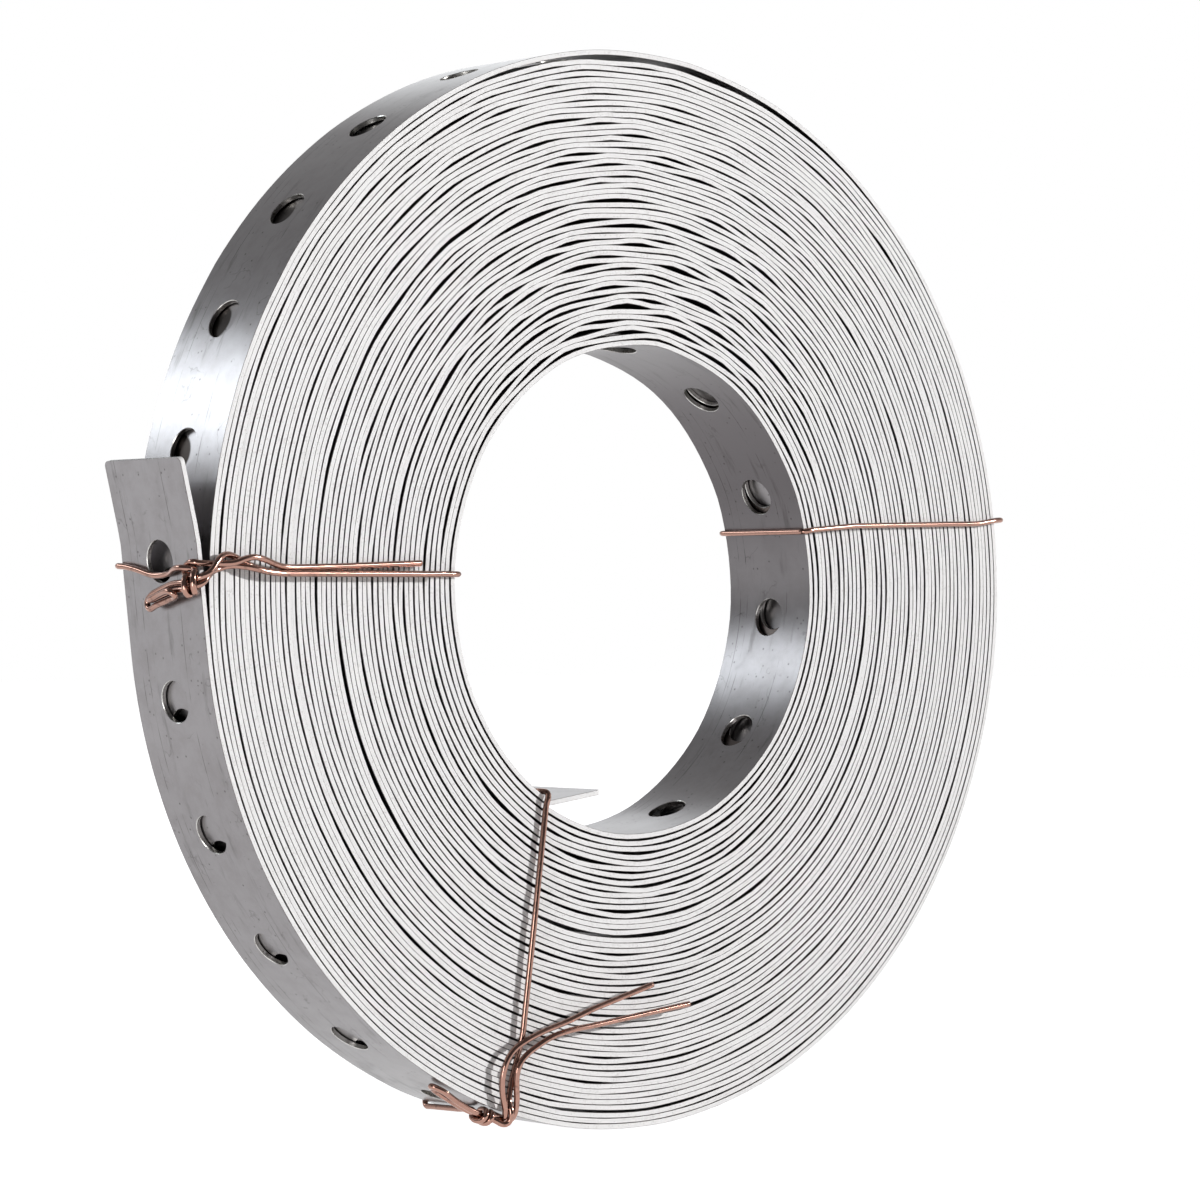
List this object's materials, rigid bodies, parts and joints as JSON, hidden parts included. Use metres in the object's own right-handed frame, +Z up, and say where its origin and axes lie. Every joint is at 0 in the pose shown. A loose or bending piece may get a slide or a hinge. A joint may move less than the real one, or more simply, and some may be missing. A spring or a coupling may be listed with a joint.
{
  "type": "coil of perforated steel strapping band",
  "caption": "Coil of perforated flat steel band, standing on its rim, with a free outer tail and a sprung inner end, tied with copper-coloured wires.",
  "frame": {"origin": "centre of the coil: on its axis, half way across the band", "axes": "+Y along the coil's axis, away from the end face that the picture shows; +Z up as it stands on its rim; the tail is on the -X side"},
  "size_m": [0.1888, 0.0262, 0.1819],
  "materials": {
    "band_steel": "bright rolled steel with smudges and cut edges",
    "tie_wire": "glossy copper-coated steel wire"
  },
  "bodies": {
    "root": {"steel_band": "band_steel", "tie_wire_left": "tie_wire", "tie_wire_right": "tie_wire", "tie_wire_bottom": "tie_wire"}
  },
  "joints": []
}
